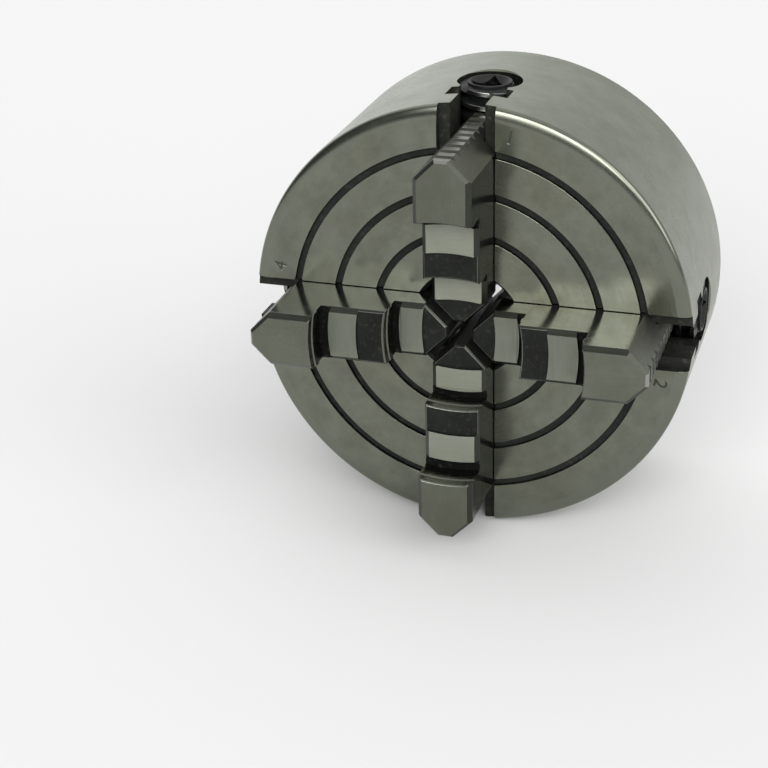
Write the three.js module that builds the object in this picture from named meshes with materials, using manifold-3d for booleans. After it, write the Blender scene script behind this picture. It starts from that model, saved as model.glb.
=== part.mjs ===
// Four-jaw independent lathe chuck, 125 mm, with a plain recessed back.
//
// Everything is in millimetres. The chuck is drawn in its own frame: z is the
// distance in front of the back mounting face, and the z axis is the spindle axis.
// Each jaw station is drawn along +x (x outwards, y across the jaw) and turned
// into place. The last lines lay the spindle axis along Y, so that the jaws face
// -Y, the back faces +Y and jaw 1 points up.
import * as THREE from 'three';
import { mergeVertices } from 'three/addons/utils/BufferGeometryUtils.js';
import { ParametricGeometry } from 'three/addons/geometries/ParametricGeometry.js';
import Module from 'manifold-3d';

// Body
const BODY_R = 62.5;
const BODY_H = 56;
const BODY_SEGMENTS = 60;
const FRONT_ROUND = 1.9;
const BACK_CHAMFER = 1;
const BORE_R = 15;
const BORE_CHAMFER = 0.8;
const REGISTER_R = 47.5;
const REGISTER_DEPTH = 4;
const FACE_GROOVE_RADII = [50, 38.2, 26.4];
const FACE_GROOVE_WIDTH = 2;
const FACE_GROOVE_DEPTH = 1.2;
const BOLT_CIRCLE_R = 54;
const BOLT_HOLE_R = 3.4;
const BOLT_HOLE_DEPTH = 18;
const BOLT_HOLE_SEGMENTS = 16;

// Running gap kept between a moving piece and what guides it
const GAP = 0.3;

// Jaw guide: each z is a height above the back face, each width is a half width
const HEAD_HALF = 7.85;
const NECK_HALF = 4.5;
const FLANGE_HALF = 8.4;
const RIB_HALF = 6.4;
const RIB_Z = 33.5;
const FLANGE_Z = 38.3;
const NECK_Z = 44.9;
const HEAD_Z = 54;

// Operating screw: its axis lies along x at height SCREW_Z. The thread is left-handed.
const SCREW_Z = 30;
const SCREW_SEGMENTS = 12;
const SCREW_INNER_END = 18;
const SCREW_OUTER_END = 61.2;
const SCREW_BORE_R = 9.1;
const SCREW_BORE_START = 17.4;
const SCREW_BORE_SEGMENTS = 32;
const PITCH = 4;
const THREAD_PHASE = 0.3;
const CREST_R = 8.7;
const ROOT_R = 6.6;
const CREST_WIDTH = 1.3;
const FLANK = 0.6;
const BOSS_R = 6.2;
const BOSS_HEIGHT = 0.8;
const SOCKET_ACROSS = 7.8;
const SOCKET_DEPTH = 10;
const SOCKET_MOUTH_R = 5.5;
const NECK_GROOVE_X = 40;
const NECK_GROOVE_WIDTH = 5;
const NECK_GROOVE_R = 5;

// Thrust yoke and its retaining plug, both in one bore behind each screw
const YOKE_BORE_R = 7.25;
const YOKE_R = 6.95;
const YOKE_SEGMENTS = 24;
const YOKE_SHOULDER_Z = 20.6;
const YOKE_TOP_Z = 31;
const PLUG_BACK_Z = 4.4;
const PLUG_HEIGHT = 4.2;
const PLUG_SLOT_WIDTH = 1.8;
const PLUG_SLOT_DEPTH = 1.4;

// Jaw: plan ends, stepped lands and the curved risers between them
const JAW_TIP_X = 3.5;
const JAW_TIP_HALF = 1.62;
const JAW_END_X = 55;
const JAW_END_HALF = 2.2;
const LAND_Z = [64.4, 72.4, 80.4];
const CHAMFER_WIDTH = 1.3;
const CHAMFER_HEIGHT = 1.4;
const CHAMFER_OVERRUN = 0.6;
const PAD_RELIEF = 0.85;
const PAD_END_X = [10.4, 27];
const RISER_X = [19.4, 38.1];
const RISER_R = 40;
const RISER_SEGMENTS = 72;
const RISER_TOP_CHAMFER = 0.4;
const RISER_LEDGE_DROP = 2.7;
const RISER_LEDGE = 0.35;
const RISER_RELIEF_DROP = 5.3;
const UNDERCUT_WIDTH = [2.3, 3];
const UNDERCUT_DEPTH = 1.2;

// Serrations across the outer end of each jaw
const TOOTH_COUNT = 9;
const TOOTH_PITCH = 4.75;
const TOOTH_FIRST_DROP = 3.6;
const TOOTH_DEPTH = 1;
const TOOTH_HALF = 1.15;

const CUT_MARGIN = 10;
const WELD = 1e-4;

const wasm = await Module();
wasm.setup();

// ---- From three.js geometry to solids and back ----

function signedVolume(position, triangles) {
  const a = new THREE.Vector3();
  const b = new THREE.Vector3();
  const c = new THREE.Vector3();
  let volume = 0;
  for (let i = 0; i < triangles.length; i += 3) {
    a.fromArray(position, 3 * triangles[i]);
    b.fromArray(position, 3 * triangles[i + 1]);
    c.fromArray(position, 3 * triangles[i + 2]);
    volume += a.dot(b.cross(c)) / 6;
  }
  return volume;
}

function solid(geometry) {
  const bare = geometry.clone();
  bare.deleteAttribute('normal');
  bare.deleteAttribute('uv');
  const welded = mergeVertices(bare, WELD);
  const position = new Float32Array(welded.attributes.position.array);
  const corners = welded.index.array;
  const triangles = [];
  for (let i = 0; i < corners.length; i += 3) {
    const [a, b, c] = corners.slice(i, i + 3);
    if (a !== b && b !== c && c !== a) {
      triangles.push(a, b, c);
    }
  }
  if (signedVolume(position, triangles) < 0) {
    triangles.reverse();
  }
  const mesh = new wasm.Mesh({ numProp: 3, vertProperties: position, triVerts: new Uint32Array(triangles) });
  return new wasm.Manifold(mesh);
}

function geometryOf(manifold) {
  const mesh = manifold.getMesh();
  const geometry = new THREE.BufferGeometry();
  geometry.setAttribute('position', new THREE.BufferAttribute(new Float32Array(mesh.vertProperties), 3));
  geometry.setIndex(new THREE.BufferAttribute(new Uint32Array(mesh.triVerts), 1));
  geometry.computeVertexNormals();
  return geometry;
}

function union(pieces) {
  return pieces.reduce((sum, piece) => sum.add(piece));
}

// ---- Basic solids ----

function outline(points) {
  return new THREE.Shape(points.map(([a, b]) => new THREE.Vector2(a, b)));
}

// A prism of the outline (y, z), running along x from start to end
function prismAlongX(points, start, end) {
  const geometry = new THREE.ExtrudeGeometry(outline(points), { depth: end - start, bevelEnabled: false });
  const yAxis = new THREE.Vector3(0, 1, 0);
  const zAxis = new THREE.Vector3(0, 0, 1);
  const xAxis = new THREE.Vector3(1, 0, 0);
  geometry.applyMatrix4(new THREE.Matrix4().makeBasis(yAxis, zAxis, xAxis));
  geometry.translate(start, 0, 0);
  return solid(geometry);
}

// A prism of the outline (x, z), centred on y = 0
function prismAcrossY(points, halfWidth) {
  const geometry = new THREE.ExtrudeGeometry(outline(points), { depth: 2 * halfWidth, bevelEnabled: false });
  geometry.rotateX(Math.PI / 2);
  geometry.translate(0, halfWidth, 0);
  return solid(geometry);
}

// A prism of the outline (x, y), standing from bottom to top
function prismAlongZ(points, bottom, top) {
  const geometry = new THREE.ExtrudeGeometry(outline(points), { depth: top - bottom, bevelEnabled: false });
  geometry.translate(0, 0, bottom);
  return solid(geometry);
}

// A solid turned about the line x = centreX, y = 0, from an outline of (radius, z) points
function turnedAboutZ(points, segments, centreX = 0) {
  const geometry = new THREE.LatheGeometry(points.map(([r, z]) => new THREE.Vector2(r, z)), segments);
  geometry.rotateX(Math.PI / 2);
  geometry.translate(centreX, 0, 0);
  return solid(geometry);
}

// A solid turned about the screw's axis, from an outline of (radius, x) points
function turnedAboutScrew(points, segments = SCREW_SEGMENTS) {
  const geometry = new THREE.LatheGeometry(points.map(([r, x]) => new THREE.Vector2(r, x)), segments);
  geometry.rotateZ(-Math.PI / 2);
  geometry.translate(0, 0, SCREW_Z);
  return solid(geometry);
}

// A straight bar with a left-handed thread. Each level is one edge of the thread
// form, and it moves back by one pitch as it goes once round the bar.
function threadedBar(start, end, rootR, crestR, crestWidth) {
  const levels = [{ x: start, r: 0 }];
  const firstTurn = Math.floor((start - THREAD_PHASE) / PITCH) - 1;
  const lastTurn = Math.ceil((end - THREAD_PHASE) / PITCH) + 2;
  for (let turn = firstTurn; turn <= lastTurn; turn += 1) {
    const centre = THREAD_PHASE + turn * PITCH;
    const halfCrest = crestWidth / 2;
    levels.push({ x: centre - halfCrest - FLANK, r: rootR });
    levels.push({ x: centre - halfCrest, r: crestR });
    levels.push({ x: centre + halfCrest, r: crestR });
    levels.push({ x: centre + halfCrest + FLANK, r: rootR });
  }
  levels.push({ x: end, r: 0 });

  const lastLevel = levels.length - 1;
  const surface = (across, along, point) => {
    const index = Math.round(along * lastLevel);
    const level = levels[index];
    const angle = across * 2 * Math.PI;
    let x = level.x;
    let radius = level.r;
    if (index > 0 && index < lastLevel) {
      const shifted = level.x - across * PITCH;
      x = THREE.MathUtils.clamp(shifted, start, end);
      radius = x === shifted ? level.r : rootR;
    }
    point.set(x, -radius * Math.sin(angle), SCREW_Z + radius * Math.cos(angle));
  };
  return solid(new ParametricGeometry(surface, SCREW_SEGMENTS, lastLevel));
}

// ---- Body ----

// The guide slot's section: a recess for the jaw's head, a neck, a T groove and
// the channel for the threaded rib
function slotSection() {
  const right = [
    [RIB_HALF + GAP, RIB_Z - 2 * GAP],
    [RIB_HALF + GAP, FLANGE_Z - GAP],
    [FLANGE_HALF + GAP, FLANGE_Z - GAP],
    [FLANGE_HALF + GAP, NECK_Z + GAP],
    [NECK_HALF + GAP, NECK_Z + GAP],
    [NECK_HALF + GAP, HEAD_Z - GAP],
    [HEAD_HALF + GAP, HEAD_Z - GAP],
    [HEAD_HALF + GAP, BODY_H + CUT_MARGIN],
  ];
  const left = right.map(([y, z]) => [-y, z]).reverse();
  return [...right, ...left];
}

function bodyProfile() {
  const roundCentreR = BODY_R - FRONT_ROUND;
  const roundCentreZ = BODY_H - FRONT_ROUND;
  const frontRound = [0, Math.PI / 4, Math.PI / 2].map((angle) => [
    roundCentreR + FRONT_ROUND * Math.cos(angle),
    roundCentreZ + FRONT_ROUND * Math.sin(angle),
  ]);
  const grooves = FACE_GROOVE_RADII.flatMap((radius) => {
    const outer = radius + FACE_GROOVE_WIDTH / 2;
    const inner = radius - FACE_GROOVE_WIDTH / 2;
    const floor = BODY_H - FACE_GROOVE_DEPTH;
    return [[outer, BODY_H], [outer, floor], [inner, floor], [inner, BODY_H]];
  });
  const backEdge = [
    [BORE_R, REGISTER_DEPTH],
    [REGISTER_R, REGISTER_DEPTH],
    [REGISTER_R, 0],
    [BODY_R - BACK_CHAMFER, 0],
    [BODY_R, BACK_CHAMFER],
  ];
  const boreMouth = [
    [BORE_R + BORE_CHAMFER, BODY_H],
    [BORE_R, BODY_H - BORE_CHAMFER],
    [BORE_R, REGISTER_DEPTH],
  ];
  return [...backEdge, ...frontRound, ...grooves, ...boreMouth];
}

function cylinderAt(radius, x, bottom, top, segments) {
  const points = [[0, bottom], [radius, bottom], [radius, top], [0, top]];
  return turnedAboutZ(points, segments, x);
}

function bodySolid() {
  const station = union([
    prismAlongX(slotSection(), 0, BODY_R + CUT_MARGIN),
    turnedAboutScrew([
      [0, SCREW_BORE_START],
      [SCREW_BORE_R, SCREW_BORE_START],
      [SCREW_BORE_R, BODY_R + CUT_MARGIN],
      [0, BODY_R + CUT_MARGIN],
    ], SCREW_BORE_SEGMENTS),
    cylinderAt(YOKE_BORE_R, NECK_GROOVE_X, -CUT_MARGIN, SCREW_Z, YOKE_SEGMENTS),
  ]);
  const boltHole = cylinderAt(BOLT_HOLE_R, BOLT_CIRCLE_R, -CUT_MARGIN, BOLT_HOLE_DEPTH, BOLT_HOLE_SEGMENTS);
  let body = turnedAboutZ(bodyProfile(), BODY_SEGMENTS);
  for (let quarter = 0; quarter < 4; quarter += 1) {
    body = body.subtract(station.rotate([0, 0, 90 * quarter]));
    body = body.subtract(boltHole.rotate([0, 0, 90 * quarter + 45]));
  }
  return body;
}

// ---- Operating screw ----

function screwSolid() {
  const faceX = SCREW_OUTER_END;
  const tipX = faceX + BOSS_HEIGHT;
  const bar = threadedBar(SCREW_INNER_END, faceX, ROOT_R, CREST_R, CREST_WIDTH);
  const boss = turnedAboutScrew([
    [0, faceX - BOSS_HEIGHT],
    [BOSS_R, faceX - BOSS_HEIGHT],
    [BOSS_R, tipX],
    [0, tipX],
  ]);
  const grooveStart = NECK_GROOVE_X - NECK_GROOVE_WIDTH / 2;
  const grooveEnd = NECK_GROOVE_X + NECK_GROOVE_WIDTH / 2;
  const neckGroove = turnedAboutScrew([
    [NECK_GROOVE_R, grooveStart],
    [CREST_R + CUT_MARGIN, grooveStart],
    [CREST_R + CUT_MARGIN, grooveEnd],
    [NECK_GROOVE_R, grooveEnd],
    [NECK_GROOVE_R, grooveStart],
  ]);
  const corner = SOCKET_ACROSS / Math.SQRT2;
  const square = [[corner, SCREW_Z], [0, SCREW_Z + corner], [-corner, SCREW_Z], [0, SCREW_Z - corner]];
  const socket = prismAlongX(square, tipX - SOCKET_DEPTH, tipX + CUT_MARGIN);
  const mouth = turnedAboutScrew([
    [0, tipX - SOCKET_MOUTH_R],
    [SOCKET_MOUTH_R + CUT_MARGIN, tipX + CUT_MARGIN],
    [0, tipX + CUT_MARGIN],
  ]);
  return bar.add(boss).subtract(neckGroove).subtract(socket).subtract(mouth);
}

// ---- Thrust yoke and plug ----

function yokeSolid() {
  const plugTop = PLUG_BACK_Z + PLUG_HEIGHT;
  const blank = cylinderAt(YOKE_R, NECK_GROOVE_X, plugTop + GAP, YOKE_TOP_Z, YOKE_SEGMENTS);
  const tongueHalf = NECK_GROOVE_WIDTH / 2 - GAP;
  const sideCuts = [-1, 1].map((side) => {
    const near = NECK_GROOVE_X + side * tongueHalf;
    const far = NECK_GROOVE_X + side * CUT_MARGIN;
    const top = YOKE_TOP_Z + CUT_MARGIN;
    const besideTongue = [[near, YOKE_SHOULDER_Z], [far, YOKE_SHOULDER_Z], [far, top], [near, top]];
    return prismAcrossY(besideTongue, CUT_MARGIN);
  });
  const saddle = turnedAboutScrew([
    [0, NECK_GROOVE_X - CUT_MARGIN],
    [NECK_GROOVE_R + GAP, NECK_GROOVE_X - CUT_MARGIN],
    [NECK_GROOVE_R + GAP, NECK_GROOVE_X + CUT_MARGIN],
    [0, NECK_GROOVE_X + CUT_MARGIN],
  ], YOKE_SEGMENTS);
  const saddleMouth = prismAlongX([
    [-NECK_GROOVE_R - GAP, SCREW_Z],
    [NECK_GROOVE_R + GAP, SCREW_Z],
    [NECK_GROOVE_R + GAP, SCREW_Z + CUT_MARGIN],
    [-NECK_GROOVE_R - GAP, SCREW_Z + CUT_MARGIN],
  ], NECK_GROOVE_X - CUT_MARGIN, NECK_GROOVE_X + CUT_MARGIN);
  return blank.subtract(sideCuts[0]).subtract(sideCuts[1]).subtract(saddle).subtract(saddleMouth);
}

function plugSolid() {
  const blank = cylinderAt(YOKE_R, NECK_GROOVE_X, PLUG_BACK_Z, PLUG_BACK_Z + PLUG_HEIGHT, YOKE_SEGMENTS);
  const slot = prismAcrossY([
    [NECK_GROOVE_X - PLUG_SLOT_WIDTH / 2, PLUG_BACK_Z - CUT_MARGIN],
    [NECK_GROOVE_X + PLUG_SLOT_WIDTH / 2, PLUG_BACK_Z - CUT_MARGIN],
    [NECK_GROOVE_X + PLUG_SLOT_WIDTH / 2, PLUG_BACK_Z + PLUG_SLOT_DEPTH],
    [NECK_GROOVE_X - PLUG_SLOT_WIDTH / 2, PLUG_BACK_Z + PLUG_SLOT_DEPTH],
  ], CUT_MARGIN);
  return blank.subtract(slot);
}

// ---- Jaw ----

// The jaw's plan: a bar with a pointed inner end and a house-shaped outer end. With
// a squareStart, the bar starts there with a square end instead of the point.
function jawPlan(half, endX, squareStart) {
  const point = [[JAW_TIP_X, JAW_TIP_HALF], [JAW_TIP_X + half - JAW_TIP_HALF, half]];
  const innerEnd = squareStart === undefined ? point : [[squareStart, half]];
  const outerEnd = [[endX - half + JAW_END_HALF, half], [endX, JAW_END_HALF]];
  const right = [...innerEnd, ...outerEnd];
  const left = right.map(([x, y]) => [x, -y]).reverse();
  return [...right, ...left];
}

// The jaw's side: the outer end carries the serrations
function jawSide() {
  const top = LAND_Z[2];
  const points = [[JAW_TIP_X, RIB_Z], [JAW_TIP_X, top], [JAW_END_X, top]];
  for (let tooth = 0; tooth < TOOTH_COUNT; tooth += 1) {
    const middle = top - TOOTH_FIRST_DROP - tooth * TOOTH_PITCH;
    points.push([JAW_END_X, middle + TOOTH_HALF]);
    points.push([JAW_END_X - TOOTH_DEPTH, middle]);
    points.push([JAW_END_X, middle - TOOTH_HALF]);
  }
  points.push([JAW_END_X, RIB_Z]);
  return points;
}

// A block of the head, from the guide up to one land, chamfered all round its top.
// It runs past the outer end, so that the chamfer left there is a narrower one.
function headBlock(topZ, squareStart) {
  const bottomZ = HEAD_Z - CHAMFER_HEIGHT;
  const plan = jawPlan(HEAD_HALF, JAW_END_X + CHAMFER_OVERRUN, squareStart);
  const geometry = new THREE.ExtrudeGeometry(outline(plan), {
    depth: topZ - bottomZ - 2 * CHAMFER_HEIGHT,
    bevelThickness: CHAMFER_HEIGHT,
    bevelSize: CHAMFER_WIDTH,
    bevelOffset: -CHAMFER_WIDTH,
    bevelSegments: 1,
  });
  geometry.translate(0, 0, bottomZ + CHAMFER_HEIGHT);
  const aboveGuide = cylinderAt(BODY_R + CUT_MARGIN, 0, HEAD_Z, topZ + CUT_MARGIN, BODY_SEGMENTS);
  return solid(geometry).intersect(aboveGuide);
}

function guideBlock() {
  const right = [
    [RIB_HALF, RIB_Z],
    [RIB_HALF, FLANGE_Z],
    [FLANGE_HALF, FLANGE_Z],
    [FLANGE_HALF, NECK_Z],
    [NECK_HALF, NECK_Z],
    [NECK_HALF, HEAD_Z + GAP],
  ];
  const left = right.map(([y, z]) => [-y, z]).reverse();
  return prismAlongX([...right, ...left], 0, BODY_R);
}

// What the curved riser behind step i leaves free: the step below it, the undercut
// groove at its foot and its own two bands
function riserCut(i) {
  const stepZ = LAND_Z[i];
  const topZ = i === 0 ? LAND_Z[1] - PAD_RELIEF : LAND_Z[2];
  const grooveR = RISER_R - UNDERCUT_WIDTH[i];
  const grooveZ = stepZ - UNDERCUT_DEPTH;
  const farR = RISER_R + RISER_TOP_CHAMFER;
  const lowBandR = RISER_R - RISER_LEDGE;
  const points = [
    [0, stepZ],
    [grooveR, stepZ],
    [grooveR, grooveZ],
    [RISER_R, grooveZ],
    [RISER_R, topZ - RISER_RELIEF_DROP - RISER_LEDGE],
    [lowBandR, topZ - RISER_RELIEF_DROP],
    [lowBandR, topZ - RISER_LEDGE_DROP - RISER_LEDGE],
    [RISER_R, topZ - RISER_LEDGE_DROP],
    [RISER_R, topZ - RISER_TOP_CHAMFER],
    [farR, topZ],
    [farR, topZ + CUT_MARGIN],
    [0, topZ + CUT_MARGIN],
  ];
  return turnedAboutZ(points, RISER_SEGMENTS, RISER_X[i] - RISER_R);
}

function padCut(i) {
  const padZ = LAND_Z[i] - PAD_RELIEF;
  return cylinderAt(RISER_R, PAD_END_X[i] - RISER_R, padZ, padZ + PAD_RELIEF + CUT_MARGIN, RISER_SEGMENTS);
}

function jawSolid() {
  const clearance = 1 / Math.cos(Math.PI / SCREW_SEGMENTS);
  const nutTap = threadedBar(
    JAW_TIP_X - CUT_MARGIN,
    BODY_R,
    ROOT_R * clearance + GAP / 2,
    CREST_R * clearance + GAP,
    CREST_WIDTH + 2 * GAP,
  );
  const head = union([
    headBlock(LAND_Z[0]),
    headBlock(LAND_Z[1], RISER_X[0] - 2 * CHAMFER_WIDTH),
    headBlock(LAND_Z[2], RISER_X[1] - 2 * CHAMFER_WIDTH),
  ]);
  const footprint = jawPlan(FLANGE_HALF, JAW_END_X);
  const shaped = head
    .add(guideBlock())
    .intersect(prismAlongZ(footprint, RIB_Z - CUT_MARGIN, LAND_Z[2] + CUT_MARGIN))
    .intersect(prismAcrossY(jawSide(), FLANGE_HALF + CUT_MARGIN));
  return shaped
    .subtract(riserCut(0))
    .subtract(riserCut(1))
    .subtract(padCut(0))
    .subtract(padCut(1))
    .subtract(nutTap);
}

// ---- Assembly ----

const groundSteel = new THREE.MeshStandardMaterial({ color: 0x84877b, roughness: 0.38, metalness: 1 });
const hardenedSteel = new THREE.MeshStandardMaterial({ color: 0x8e9086, roughness: 0.32, metalness: 1 });
const blackOxide = new THREE.MeshStandardMaterial({ color: 0x1d1e1f, roughness: 0.42, metalness: 0.8 });
const plainSteel = new THREE.MeshStandardMaterial({ color: 0x6e706c, roughness: 0.5, metalness: 1 });

function named(name, geometry, material) {
  const mesh = new THREE.Mesh(geometry, material);
  mesh.name = name;
  return mesh;
}

const jawGeometry = geometryOf(jawSolid());
const screwGeometry = geometryOf(screwSolid());
const yokeGeometry = geometryOf(yokeSolid());
const plugGeometry = geometryOf(plugSolid());

const chuck = new THREE.Group();
chuck.add(named('body', geometryOf(bodySolid()), groundSteel));

// Seen from the front, jaw 1 is at the top and the numbers run clockwise
for (let number = 1; number <= 4; number += 1) {
  const station = new THREE.Group();
  station.rotation.z = Math.PI / 2 - (number - 1) * Math.PI / 2;
  station.add(named(`jaw_${number}`, jawGeometry, hardenedSteel));
  station.add(named(`screw_${number}`, screwGeometry, blackOxide));
  station.add(named(`thrust_yoke_${number}`, yokeGeometry, plainSteel));
  station.add(named(`yoke_plug_${number}`, plugGeometry, blackOxide));
  chuck.add(station);
}

chuck.rotation.x = Math.PI / 2;
const group = new THREE.Group();
group.add(chuck);

export default group;
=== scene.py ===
import math

import bmesh
import bpy
from mathutils import Matrix, Vector


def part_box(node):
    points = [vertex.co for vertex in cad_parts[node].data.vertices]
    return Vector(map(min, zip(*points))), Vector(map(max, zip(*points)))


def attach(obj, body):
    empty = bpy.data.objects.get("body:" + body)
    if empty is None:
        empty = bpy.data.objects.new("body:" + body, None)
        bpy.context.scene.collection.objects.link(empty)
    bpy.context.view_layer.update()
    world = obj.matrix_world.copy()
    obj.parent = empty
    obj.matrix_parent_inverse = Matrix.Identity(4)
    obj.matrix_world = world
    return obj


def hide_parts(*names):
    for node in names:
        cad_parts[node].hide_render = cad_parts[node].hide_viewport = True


# A four-jaw independent lathe chuck. Shapes are drawn in millimetres in the chuck's own
# frame: z is the height above the back face. What repeats at the four stations is drawn along
# +x and then turned into place.
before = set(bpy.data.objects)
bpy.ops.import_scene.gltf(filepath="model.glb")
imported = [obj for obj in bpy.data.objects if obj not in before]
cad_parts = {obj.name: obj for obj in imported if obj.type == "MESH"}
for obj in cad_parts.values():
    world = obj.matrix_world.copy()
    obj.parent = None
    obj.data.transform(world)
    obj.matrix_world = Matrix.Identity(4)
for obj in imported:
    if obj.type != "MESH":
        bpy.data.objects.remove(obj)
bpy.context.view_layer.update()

MM = 1000  # in a metre
body_low, body_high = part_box("body")
jaw_low, jaw_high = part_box("jaw_1")

# Body
BODY_R = MM * body_high.x
BODY_H = -MM * body_low.y
BODY_SEGMENTS = 248
FRONT_ROUND = 1.9
FRONT_EASE_R = 8.5
FRONT_EASE_ANGLE = 20
FRONT_ROUND_STEPS = 8
FRONT_EASE_STEPS = 10
BACK_CHAMFER = 1
BORE_R = 15
BORE_CHAMFER = 0.8
REGISTER_R = 47.5
REGISTER_DEPTH = 4
GROOVE_RADII = (50, 38.2, 26.4)
GROOVE_WIDTH = 2
GROOVE_DEPTH = 1.2
BOLT_CIRCLE_R = 54
BOLT_HOLE_R = 3.4
BOLT_HOLE_DEPTH = 18
BOLT_HOLE_POINT = 1.6
BOLT_HOLE_SEGMENTS = 40
BOLT_MOUTH = 0.2
BOLT_THREAD_PITCH = 1.25
BOLT_THREAD_DEPTH = 0.45
BOLT_THREAD_START = 0.1
BOLT_THREAD_RUNOUT = 3

# Gaps round the jaw, and the broken lip of its slot
GAP = 0.3
FACE_GAP = 0.14
LIP = 0.1

# Etched jaw numbers
DIGIT_SIZE = 5.2
DIGIT_BOLD = 0.03
DIGIT_DEPTH = 0.08
DIGIT_HALF_HEIGHT = 1
DIGIT_R = 55.7
DIGIT_ANGLE = 12.5

# Jaw guide
HEAD_HALF = 7.85
NECK_HALF = 4.5
FLANGE_HALF = 8.4
RIB_HALF = 6.4
RIB_Z = 33.5
FLANGE_Z = 38.3
NECK_Z = 44.9
HEAD_Z = 54

# Operating screw
SCREW_Z = 30
SCREW_INNER_END = 18
SCREW_OUTER_END = 61.2
SCREW_BORE_R = 9.1
SCREW_BORE_START = 17.4
SCREW_BORE_CHAMFER = 0.5
SCREW_SEGMENTS = 72
PITCH = 4
THREAD_PHASE = 0.3
CREST_R = 8.7
ROOT_R = 6.6
CREST_WIDTH = 1.3
FLANK = 0.6
THREAD_SOFTENING = 0.12
NUT_ROOT_GAP = 0.38
NUT_CREST_GAP = 0.6
BOSS_R = 6.2
BOSS_HEIGHT = 0.8
BOSS_CHAMFER = 0.15
SOCKET_ACROSS = 7.8
SOCKET_DEPTH = 10
SOCKET_MOUTH_R = 5.62
NECK_GROOVE_X = 40
NECK_GROOVE_WIDTH = 5
NECK_GROOVE_R = 5

# Thrust yoke and plug
YOKE_BORE_R = 7.25
YOKE_BORE_CHAMFER = 0.3
YOKE_BORE_LIP = 0.01
YOKE_SEGMENTS = 64
YOKE_R = 6.95
YOKE_SHOULDER_Z = 20.6
YOKE_TOP_Z = 31
PLUG_BACK_Z = 4.4
PLUG_HEIGHT = 4.2
PLUG_SLOT_WIDTH = 1.8
PLUG_SLOT_DEPTH = 1.4

# Jaw
JAW_TIP_X = 3.5
JAW_TIP_HALF = 1.62
JAW_END_X = MM * jaw_high.z
JAW_END_HALF = 2.2
LAND_Z = (64.4, 72.4, -MM * jaw_low.y)
CHAMFER_WIDTH = 1.3
CHAMFER_HEIGHT = 1.4
CHAMFER_OVERRUN = 0.6
PAD_RELIEF = 0.85
PAD_END_X = (10.4, 27)
RISER_X = (19.4, 38.1)
RISER_R = 40
RISER_SEGMENTS = 288
RISER_TOP_CHAMFER = 0.4
RISER_LEDGE_DROP = 2.7
RISER_LEDGE = 0.35
RISER_RELIEF_DROP = 5.3
UNDERCUT_WIDTH = (2.3, 3)
UNDERCUT_DEPTH = 1.2
TOOTH_COUNT = 9
TOOTH_PITCH = 4.75
TOOTH_FIRST_DROP = 3.6
TOOTH_DEPTH = 1
TOOTH_HALF = 1.15

# How far a cutting solid reaches past what it cuts, and how close corners have to be to join
CUT_MARGIN = 10
SHORT_MARGIN = 1
WELD = 1e-4
STATIONS = (1, 2, 3, 4)


# ---- Solids, in millimetres ----

def closed(mesh):
    """An object of a closed mesh, with its corners joined and its faces pointing out."""
    bm = bmesh.new()
    bm.from_mesh(mesh)
    bmesh.ops.remove_doubles(bm, verts=bm.verts, dist=WELD)
    bmesh.ops.recalc_face_normals(bm, faces=bm.faces)
    bm.to_mesh(mesh)
    bm.free()
    obj = bpy.data.objects.new(mesh.name, mesh)
    bpy.context.scene.collection.objects.link(obj)
    return obj


def solid(verts, faces):
    mesh = bpy.data.meshes.new("solid")
    mesh.from_pydata(verts, [], faces)
    return closed(mesh)


def moved(obj, matrix):
    obj.data.transform(matrix)
    return obj


def discard(obj):
    mesh = obj.data
    bpy.data.objects.remove(obj)
    if mesh.users == 0:
        bpy.data.meshes.remove(mesh)


def joined(obj, other, operation):
    """obj cut by, or joined with, the other solid, which is used up."""
    modifier = obj.modifiers.new("cut", "BOOLEAN")
    modifier.operation = operation
    modifier.solver = "MANIFOLD"
    modifier.object = other
    depsgraph = bpy.context.evaluated_depsgraph_get()
    mesh = bpy.data.meshes.new_from_object(obj.evaluated_get(depsgraph))
    obj.modifiers.clear()
    old = obj.data
    obj.data = mesh
    bpy.data.meshes.remove(old)
    discard(other)
    return obj


def cut(obj, *others):
    for other in others:
        joined(obj, other, "DIFFERENCE")
    return obj


def turned(profile, segments, centre_x=0.0):
    """A solid turned about the line x = centre_x, y = 0, from a closed outline of (radius, z)."""
    verts = []
    rings = []
    for radius, z in profile:
        first = len(verts)
        if radius < WELD:
            verts.append((centre_x, 0, z))
            rings.append([first] * segments)
        else:
            for step in range(segments):
                angle = 2 * math.pi * step / segments
                verts.append((centre_x + radius * math.cos(angle), radius * math.sin(angle), z))
            rings.append([first + step for step in range(segments)])
    faces = []
    for index, ring in enumerate(rings):
        after = rings[(index + 1) % len(rings)]
        for step in range(segments):
            beside = (step + 1) % segments
            corners = (ring[step], ring[beside], after[beside], after[step])
            face = list(dict.fromkeys(corners))
            if len(face) > 2:
                faces.append(face)
    return solid(verts, faces)


ALONG_SCREW = Matrix.Translation((0, 0, SCREW_Z)) @ Matrix.Rotation(math.radians(90), 4, "Y")


def turned_on_screw(profile, segments=SCREW_SEGMENTS):
    """A solid turned about the screw's axis, from a closed outline of (radius, x)."""
    return moved(turned(profile, segments), ALONG_SCREW)


def cylinder_at(radius, x, low, high, segments):
    return turned([(0, low), (radius, low), (radius, high), (0, high)], segments, x)


def prism(points, low, high, place):
    """A prism of a closed outline between two levels; place gives each corner its x, y and z."""
    count = len(points)
    verts = [place(a, b, level) for level in (low, high) for a, b in points]
    faces = [list(range(count)), list(range(count, 2 * count))]
    for i in range(count):
        j = (i + 1) % count
        faces.append([i, j, count + j, count + i])
    return solid(verts, faces)


def prism_along_x(points, low, high):
    return prism(points, low, high, lambda y, z, x: (x, y, z))


def prism_across_y(points, half_width):
    return prism(points, -half_width, half_width, lambda x, z, y: (x, y, z))


def prism_along_z(points, low, high):
    return prism(points, low, high, lambda x, y, z: (x, y, z))


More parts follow.
